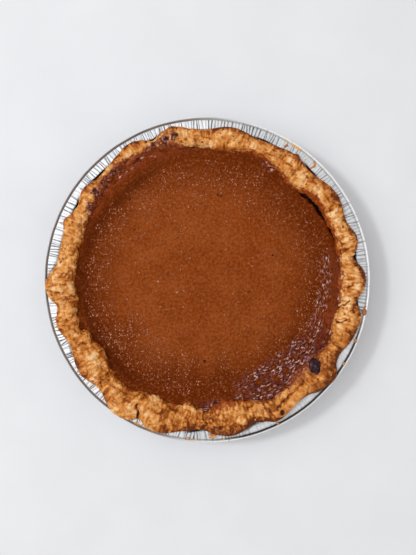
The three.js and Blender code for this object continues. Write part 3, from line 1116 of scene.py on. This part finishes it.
def skin_cover(points):
    """Where the custard wears a skin, and how purple, how wrinkled and how dark that skin is, all 0 to 1"""
    flat = points * (1, 1, 0)
    out = radius_of(points)
    angles = (angle_of(points) + 90) % 360 - 90
    start = np.interp(angles, *np.transpose(SKIN_START)) - out
    start = start + 3.0 * noise(flat, 12, 79) + 1.6 * noise(flat, 4, 83)
    lower_right = sector(angles, -66, 4, 18) * smooth(3, -5, start)
    upper_left = sector(angles, 100, 157, 5) * smooth(93, 102, out + 2.5 * noise(flat, 7, 84))
    top_right = spot(points, 61.5, 97.5, 7) ** 0.5
    bottom = sector(angles, 268, 292, 6) * smooth(88, 93, out + 2.0 * noise(flat, 6, 85))
    cover = greatest(lower_right, upper_left, top_right, bottom)

    patchy = smooth(-0.6, 0.3, noise(flat, 11, 88))
    inner = smooth(95, 90, out - 5 * sector(angles, -84, -34, 8) + 2.0 * noise(flat, 8, 89))
    inner = inner * (0.3 + 0.7 * patchy) * (1 - 0.2 * sector(angles, -80, -52, 8))
    by_pastry = smooth(97, 100, out) * patchy + sector(angles, -68, -44, 8) * smooth(90, 94, out)
    wrinkled = greatest(lower_right * inner, 0.7 * lower_right * by_pastry, top_right,
                        0.55 * smooth(98, 102, out) * upper_left * patchy, 0.8 * bottom * patchy)
    patches = 0.78 + 0.22 * smooth(-0.5, 0.3, noise(flat, 14, 90))
    purple = greatest(lower_right * smooth(14, -6, angles + 24) * patches, 0.8 * bottom,
                      0.6 * upper_left * smooth(104, 107, out))
    body = smooth(0.2, 0.95, cover) * (1 - 0.85 * sector(angles, -9, 30, 8))
    return cover, np.clip(purple, 0, 1), wrinkled, body


def round_pits(points):
    """1 in the middle of each pit of the custard, falling to 0 at its edge"""
    x, y = points[..., 0], points[..., 1]
    return greatest(*(np.clip(1 - ((x - a) ** 2 + (y - b) ** 2) / r**2, 0, 1) for a, b, r in PITS))


def filling_masks(part, angles, to_edge, points):
    """How deep in colour the custard's top is, and its darkest ring along the left, part browning and part
    painted shadow of the pastry
    """
    flat = points * (1, 1, 0)
    deep = 0.12 + 0.12 * np.cos(np.radians(angles + 60)) * part + 0.85 * smooth(44, 7, to_edge)
    deep = deep + 0.22 * sector(angles, 262, 345, 40) * smooth(52, 12, to_edge) + 0.12 * noise(flat, 12, 78)
    from_ring = np.interp(angles, *np.transpose(CARAMEL_AND_SHADOW_RING)) - radius_of(points) + 1.2 * noise(flat, 7, 82)
    baked = sector(angles, 124, 226, 18) * np.exp(-((from_ring / np.where(from_ring > 0, 5.5, 3.2)) ** 2))
    return np.clip(deep, 0, 1), 0.54 * baked


def pumpkin_filling():
    part, angles = disc_grid(FILLING_GRID)
    edge = custard_edge(angles)
    mean = float(np.mean(inner_edge(np.arange(360))))
    flat = ring_points(part * (mean + (edge - mean) * part**4), 0.0, angles)
    to_edge = edge - radius_of(flat)
    pit = round_pits(flat)
    grain = 0.06 * noise(flat, 2.6, 74) + 0.05 * noise(flat, 1.5, 75)
    deep, baked = filling_masks(part, angles, to_edge, flat)
    # Painted shade: near black in the pits, along the edge where the custard shrank from the pastry and down
    # its sides
    shrunk_gap_shade = np.clip(custard_gap(angles), 0, 1) * smooth(0.9, 0.2, to_edge)
    dark = np.clip(np.maximum(pit * 1.2, shrunk_gap_shade), 0, 1)
    flat[..., 2] = LEVEL + custard_rise(flat) + grain - 0.8 * pit
    top = flat.reshape(-1, 3)

    index = np.arange(len(top)).reshape(part.shape)
    loops = [border(index.T)]
    count = len(loops[0])
    rim = top[loops[0]]
    points = [top]
    faces = cells(index)[:, [0, 3, 2, 1]].tolist()
    floor = SHELL_FLOOR + GAP
    for height, inset in ((24, 0.5), (floor, 12.5)):  # rings down the side
        inward = 1 - inset / radius_of(rim)
        points.append(np.column_stack([rim[:, :2] * inward[:, None], np.full(count, height)]))
        loops.append(len(top) + (len(loops) - 1) * count + np.arange(count))
        faces += band(loops[-1], loops[-2])
    points = np.vstack(points + [(0, 0, floor)])
    faces += fan(len(points) - 1, np.roll(loops[-1], -1), loops[-1])
    pad = lambda values, after: np.append(values.ravel(), np.full(2 * count + 1, after))
    return make_piece("pumpkin_filling", points, faces, "custard", ["filling"], deep=pad(deep, 0.5),
                      baked=pad(baked, 0.0), pit=pad(dark, 1.0))


def skin_patch(first, last, near, beyond, step):
    """A closed sheet over part of the custard, sunk into it where there is no skin, and its masks"""
    rows = int(math.radians(last - first) * 92 / step)
    angles = np.linspace(first, last, rows)[:, None]
    far = custard_edge(angles) + beyond
    columns = int((far.mean() - near) / step)
    t = np.linspace(0, 1, columns)[None]
    points = ring_points(near + (far - near) * t, 0.0, angles)
    cover, purple, wrinkled, body = skin_cover(points)
    arc = np.radians(angles) * 90
    place = np.stack(np.broadcast_arrays(radius_of(points), arc / 2.6, 7.0), axis=-1)
    place = warped(place, 4, 1.2, 86)
    folds = (0.55 * noise(place, 1.8, 76) + 0.35 * noise(place, 1.1, 77)) * (0.3 + 0.7 * wrinkled)
    folds = (folds + 0.3 * noise(points, 6, 87)) * (1 + 0.6 * sector(angles, 95, 160, 4))
    edge = np.minimum(smooth(0, 0.04, t) * smooth(1, 0.97, t),
                      smooth(first, first + 2, angles) * smooth(last, last - 2, angles))
    shown = cover * edge
    points[..., 2] = LEVEL + custard_rise(points) + (0.1 + folds) * shown - 0.6 * smooth(0.4, 0, shown)
    # Where the skin's folds get painted highlights and painted shade
    painted_light_on_folds = smooth(0.1, 0.9, wrinkled * (1 + 0.8 * noise(points, 5, 91))) * edge
    painted_light_on_folds = painted_light_on_folds * (1 - 0.12 * sector(angles, 282, 326, 12))
    masks = np.stack(np.broadcast_arrays(purple, painted_light_on_folds, body * edge, radius_of(points), arc), axis=-1)
    both_sides = np.vstack([points.reshape(-1, 3), (points - (0, 0, SKIN_DEPTH)).reshape(-1, 3)])
    return both_sides, sheet_faces(rows, columns), np.vstack([masks.reshape(-1, 5)] * 2)


def custard_skin():
    """The skin: along the lower right, at the upper left, and smaller at the upper right and the bottom"""
    points, faces, masks = joined([skin_patch(*patch) for patch in SKIN_PATCHES])
    names = ("purple", "painted_light_on_folds", "body", "out", "arc")
    return make_piece("custard_skin", points, faces, "custard", **dict(zip(names, masks.T)))


def bubble_places(rng):
    """Each bubble's x, y, radius and rise"""
    places = [(x, y, r, 0.4 * r) for x, y, r in BIG_BUBBLES]
    for first, last, near, far, count in BUBBLE_FIELDS:
        for _ in range(count):
            x, y = polar(rng.uniform(first, last), math.sqrt(rng.uniform(near**2, far**2)))
            r = 0.28 + 0.5 * rng.uniform(0, 1) ** 1.7
            places.append((x, y, r, r * rng.uniform(0.25, 0.42)))
    return np.array(places)


def custard_bubbles():
    """Small bubbles standing on the custard, thick along the left and the right"""
    rng = np.random.default_rng(71)
    places = bubble_places(rng)
    floor = LEVEL + custard_rise(places[:, :3] * (1, 1, 0))
    ring = np.array([(1.0, -0.35), (0.94, 0.3), (0.72, 0.7), (0.4, 0.92)])
    turn = np.linspace(0, 2 * math.pi, 9, endpoint=False)
    # How far up each bubble its top is painted pale, a painted highlight
    level = np.concatenate([np.repeat(smooth(0.45, 0.95, ring[:, 1]), len(turn)), (0, 1)])
    faces = round_faces(len(ring), len(turn))
    shells = []
    for (x, y, r, rise), z in zip(places, floor):
        stretch, lean = rng.uniform(1.0, 1.45), rng.normal(math.pi / 2, 0.6)
        long, short = r * stretch * np.cos(turn), r / stretch * np.sin(turn)
        px = long * math.cos(lean) - short * math.sin(lean)
        py = long * math.sin(lean) + short * math.cos(lean)
        rings = np.stack(np.broadcast_arrays(x + ring[:, :1] * px, y + ring[:, :1] * py,
                                             z + ring[:, 1:] * rise), axis=-1)
        points = closed_rings(rings, (x, y, z - 0.5 * rise), (x, y, z + rise))
        shells.append((points, faces, level * rng.uniform(0, 1) ** 1.7))
    points, faces, top = joined(shells)
    return make_piece("custard_bubbles", points, faces, "custard", top=top)


# Camera, light and floor

def pale_floor():
    half = 4.0
    mesh = bpy.data.meshes.new("floor")
    corners = [(-half, -half, 0), (half, -half, 0), (half, half, 0), (-half, half, 0)]
    mesh.from_pydata(corners, [], [(0, 1, 2, 3)])
    floor = bpy.data.objects.new("floor", mesh)
    bpy.context.collection.objects.link(floor)
    shade = Shade("floor_finish", Specular_IOR_Level=0.1)
    colour = shade.ramp(shade.noise(60.0, 2.0), (0.3, (234, 234, 236)), (0.7, (238, 238, 240)))
    floor.data.materials.append(shade.finish(colour, 0.8))


def disk_light(name, size, power, colour, azimuth, elevation, distance):
    """A round soft light aimed at the pie, its place given in degrees and metres"""
    light = bpy.data.lights.new(name, "AREA")
    light.shape = "DISK"
    light.size = size
    light.energy = power
    light.color = colour
    lamp = bpy.data.objects.new(name, light)
    bpy.context.collection.objects.link(lamp)
    x, y = polar(azimuth, distance * math.cos(math.radians(elevation)))
    lamp.location = (x, y, distance * math.sin(math.radians(elevation)))
    lamp.rotation_euler = (math.radians(90 - elevation), 0, math.radians(azimuth + 90))


def room_light():
    world = bpy.data.worlds.new("room")
    world.use_nodes = True
    background = world.node_tree.nodes["Background"]
    background.inputs["Color"].default_value = (1.0, 0.99, 0.98, 1)
    background.inputs["Strength"].default_value = 0.53
    bpy.context.scene.world = world


def overhead_camera():
    """Straight above, as wide as the view that the tin fills by three quarters and a bit"""
    distance = 0.55
    tin_share = 0.7835
    camera = bpy.data.cameras.new("overhead")
    camera.sensor_fit = "HORIZONTAL"
    camera.lens = camera.sensor_width * distance / (2 * TIN_RADIUS * MM / tin_share)
    eye = bpy.data.objects.new("overhead", camera)
    bpy.context.collection.objects.link(eye)
    eye.location = (0.0005, 0.0019, TIN_TOP * MM + distance)
    bpy.context.scene.camera = eye


def dress(piece, material):
    piece.data.materials.append(material)


overhead_camera()
pale_floor()
disk_light("window", 0.28, 9.6, (0.95, 0.97, 1.0), 164, 58, 2.0)
disk_light("ceiling", 2.0, 13.0, (0.93, 0.97, 1.0), 165, 60, 2.1)
disk_light("wall", 1.8, 3.2, (1.0, 0.98, 0.95), -10, 60, 2.2)
room_light()
bpy.context.scene.view_settings.view_transform = "Standard"

dress(foil_tin(), foil_material())
pastry = pastry_material()
crust, crust_surface = pie_crust()
dress(crust, pastry)
dress(pastry_roll(crust_surface), pastry)
dress(pumpkin_filling(), custard_material())
dress(custard_skin(), skin_material())
dress(custard_bubbles(), bubble_material())
dress(burnt_bubble(crust_surface), burnt_material())
dress(crumbs(crust_surface), crumb_material())
dress(egg_wash(), egg_wash_material())
